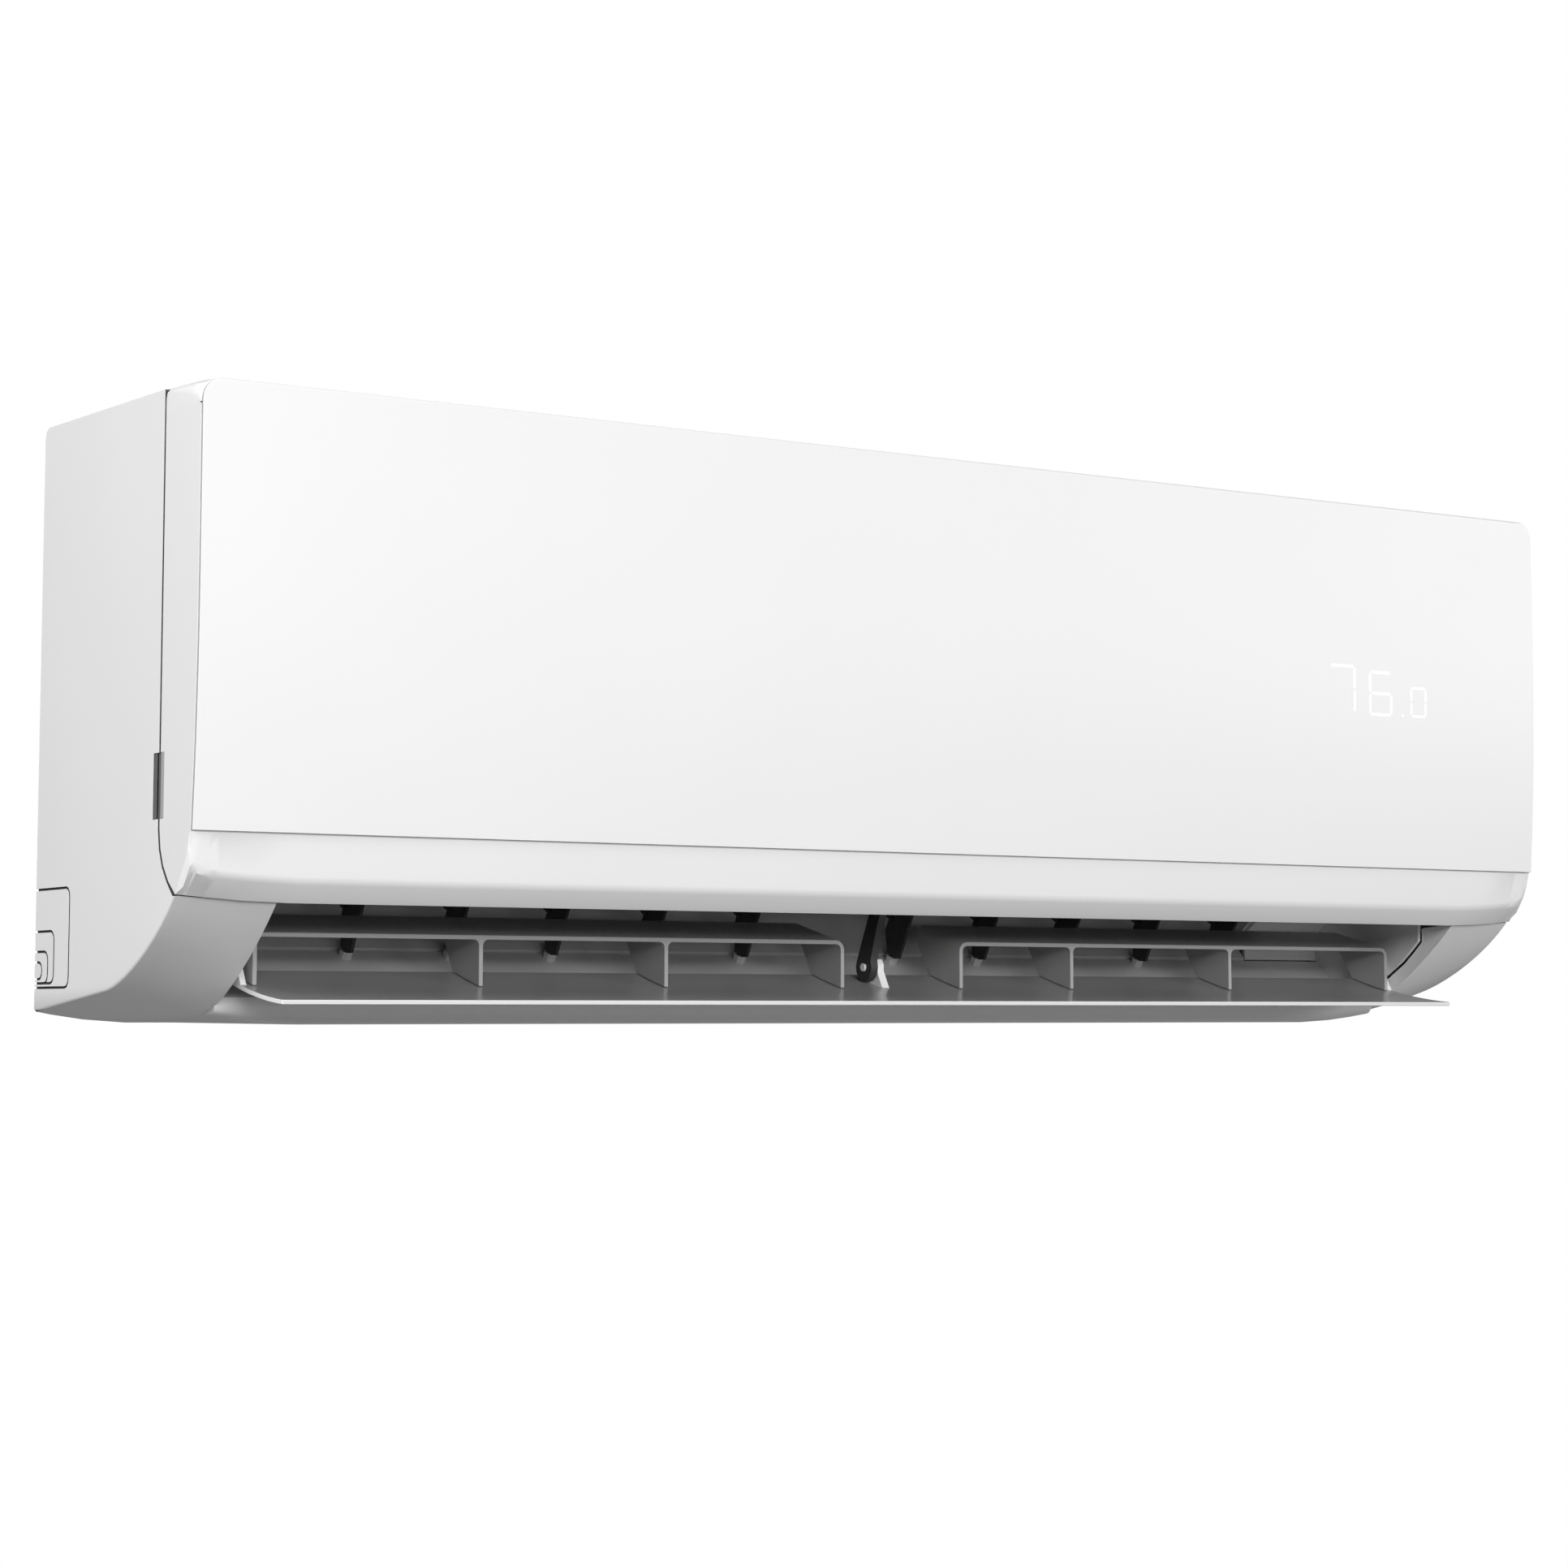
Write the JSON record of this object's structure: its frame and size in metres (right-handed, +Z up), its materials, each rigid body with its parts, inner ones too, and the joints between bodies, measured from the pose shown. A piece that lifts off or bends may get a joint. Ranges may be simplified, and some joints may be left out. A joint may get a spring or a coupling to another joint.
{
  "type": "mini split indoor unit",
  "caption": "Wall-hung indoor unit of a mini split air conditioner: white casing, hinged front panel, louvre with inner blades, vanes, cross-flow fan and coil",
  "frame": {"origin": "centre of the rear face of the mounting plate, at half the height of the end walls", "axes": "+X to the right of someone who faces the unit, +Y into the wall, +Z up"},
  "size_m": [0.805, 0.196, 0.2878],
  "materials": {
    "casing_white": "fine satin white",
    "face_gloss": "glossy white",
    "inner_white": "satin light grey",
    "black_plastic": "satin black",
    "dark_grey_plastic": "satin dark grey",
    "zinc_steel": "zinc plated",
    "bright_steel": "turned",
    "fin_aluminium": "coated fins",
    "copper_metal": "drawn copper tube",
    "brass_metal": "turned brass",
    "black_rubber": "matt",
    "circuit_board": "green laminate",
    "filter_net": "fine net"
  },
  "bodies": {
    "housing": {"front_casing": "casing_white", "outlet_frame": "inner_white", "louvre_support_arm": "black_plastic", "louvre_motor": "zinc_steel", "rear_chassis": "inner_white", "mounting_plate": "zinc_steel", "bearing_holder": "black_rubber", "bearing_bush": "brass_metal", "fan_motor": "zinc_steel", "motor_ring_left": "black_rubber", "motor_ring_right": "black_rubber", "motor_clamp": "zinc_steel", "motor_screw_lower": "bright_steel", "motor_screw_upper": "bright_steel", "coil_front_lower": "fin_aluminium", "coil_front_upper": "fin_aluminium", "coil_rear": "fin_aluminium", "tube_sheet_left": "zinc_steel", "tube_sheet_right": "zinc_steel", "liquid_pipe": "copper_metal", "suction_pipe": "copper_metal", "liquid_nut": "brass_metal", "suction_nut": "brass_metal", "air_filter_left": "filter_net", "air_filter_right": "filter_net", "control_box": "inner_white", "control_box_cover": "zinc_steel", "control_box_screw_1": "bright_steel", "control_box_screw_2": "bright_steel", "main_circuit_board": "circuit_board", "terminal_block": "black_plastic", "drain_plug": "black_rubber"},
    "front_panel": {"front_panel": "casing_white", "face_panel": "face_gloss", "display_board": "circuit_board"},
    "louvre": {"louvre_blade": "casing_white", "inner_blade_left": "casing_white", "inner_blade_right": "casing_white"},
    "fan": {"fan_wheel": "dark_grey_plastic", "fan_stub": "bright_steel", "motor_shaft": "bright_steel"},
    "manual_button": {"manual_button": "casing_white"},
    "link_bar_left": {"link_bar_left": "black_plastic"},
    "link_bar_right": {"link_bar_right": "black_plastic"},
    "vane_left_1": {"vane_left_1": "black_plastic"},
    "vane_left_2": {"vane_left_2": "black_plastic"},
    "vane_left_3": {"vane_left_3": "black_plastic"},
    "vane_left_4": {"vane_left_4": "black_plastic"},
    "vane_left_5": {"vane_left_5": "black_plastic"},
    "vane_right_1": {"vane_right_1": "black_plastic"},
    "vane_right_2": {"vane_right_2": "black_plastic"},
    "vane_right_3": {"vane_right_3": "black_plastic"},
    "vane_right_4": {"vane_right_4": "black_plastic"},
    "vane_right_5": {"vane_right_5": "black_plastic"}
  },
  "joints": [
    {"name": "panel_hinge", "type": "hinge", "parent": "housing", "child": "front_panel", "pos_m": [0, -0.1577, 0.13225], "axis": [-1, 0, 0], "range_deg": [0, 60]},
    {"name": "louvre_turn", "type": "hinge", "parent": "housing", "child": "louvre", "pos_m": [0, -0.1205, -0.11835], "axis": [-1, 0, 0], "range_deg": [-30, 41.5]},
    {"name": "fan_spin", "type": "hinge", "parent": "housing", "child": "fan", "pos_m": [0, -0.084, -0.02485], "axis": [1, 0, 0], "continuous": true},
    {"name": "manual_button_press", "type": "slide", "parent": "housing", "child": "manual_button", "axis": [0, 1, 0], "range_m": [0, 0.0012], "stiffness_N_per_m": 400, "springref_m": -0.0005},
    {"name": "vane_left_1_turn", "type": "hinge", "parent": "housing", "child": "vane_left_1", "pos_m": [-0.048, -0.0705, -0.11085], "axis": [0, -0.4742, 0.8804], "range_deg": [-35, 35]},
    {"name": "vane_left_2_turn", "type": "hinge", "parent": "housing", "child": "vane_left_2", "pos_m": [-0.104, -0.0705, -0.11085], "axis": [0, -0.4742, 0.8804], "range_deg": [-35, 35]},
    {"name": "vane_left_3_turn", "type": "hinge", "parent": "housing", "child": "vane_left_3", "pos_m": [-0.16, -0.0705, -0.11085], "axis": [0, -0.4742, 0.8804], "range_deg": [-35, 35]},
    {"name": "vane_left_4_turn", "type": "hinge", "parent": "housing", "child": "vane_left_4", "pos_m": [-0.216, -0.0705, -0.11085], "axis": [0, -0.4742, 0.8804], "range_deg": [-35, 35]},
    {"name": "vane_left_5_turn", "type": "hinge", "parent": "housing", "child": "vane_left_5", "pos_m": [-0.272, -0.0705, -0.11085], "axis": [0, -0.4742, 0.8804], "range_deg": [-35, 35]},
    {"name": "link_bar_left_turn", "type": "hinge", "parent": "vane_left_1", "child": "link_bar_left", "pos_m": [-0.048, -0.06807, -0.08796], "axis": [0, -0.4742, 0.8804], "range_deg": [-35, 35]},
    {"name": "vane_right_1_turn", "type": "hinge", "parent": "housing", "child": "vane_right_1", "pos_m": [0.048, -0.0705, -0.11085], "axis": [0, -0.4742, 0.8804], "range_deg": [-35, 35]},
    {"name": "vane_right_2_turn", "type": "hinge", "parent": "housing", "child": "vane_right_2", "pos_m": [0.104, -0.0705, -0.11085], "axis": [0, -0.4742, 0.8804], "range_deg": [-35, 35]},
    {"name": "vane_right_3_turn", "type": "hinge", "parent": "housing", "child": "vane_right_3", "pos_m": [0.16, -0.0705, -0.11085], "axis": [0, -0.4742, 0.8804], "range_deg": [-35, 35]},
    {"name": "vane_right_4_turn", "type": "hinge", "parent": "housing", "child": "vane_right_4", "pos_m": [0.216, -0.0705, -0.11085], "axis": [0, -0.4742, 0.8804], "range_deg": [-35, 35]},
    {"name": "vane_right_5_turn", "type": "hinge", "parent": "housing", "child": "vane_right_5", "pos_m": [0.272, -0.0705, -0.11085], "axis": [0, -0.4742, 0.8804], "range_deg": [-35, 35]},
    {"name": "link_bar_right_turn", "type": "hinge", "parent": "vane_right_1", "child": "link_bar_right", "pos_m": [0.048, -0.06807, -0.08796], "axis": [0, -0.4742, 0.8804], "range_deg": [-35, 35]}
  ],
  "couplings": [
    {"joint": "vane_left_2_turn", "follows": "vane_left_1_turn", "ratio": 1},
    {"joint": "vane_left_3_turn", "follows": "vane_left_1_turn", "ratio": 1},
    {"joint": "vane_left_4_turn", "follows": "vane_left_1_turn", "ratio": 1},
    {"joint": "vane_left_5_turn", "follows": "vane_left_1_turn", "ratio": 1},
    {"joint": "link_bar_left_turn", "follows": "vane_left_1_turn", "ratio": -1},
    {"joint": "vane_right_2_turn", "follows": "vane_right_1_turn", "ratio": 1},
    {"joint": "vane_right_3_turn", "follows": "vane_right_1_turn", "ratio": 1},
    {"joint": "vane_right_4_turn", "follows": "vane_right_1_turn", "ratio": 1},
    {"joint": "vane_right_5_turn", "follows": "vane_right_1_turn", "ratio": 1},
    {"joint": "link_bar_right_turn", "follows": "vane_right_1_turn", "ratio": -1}
  ]
}
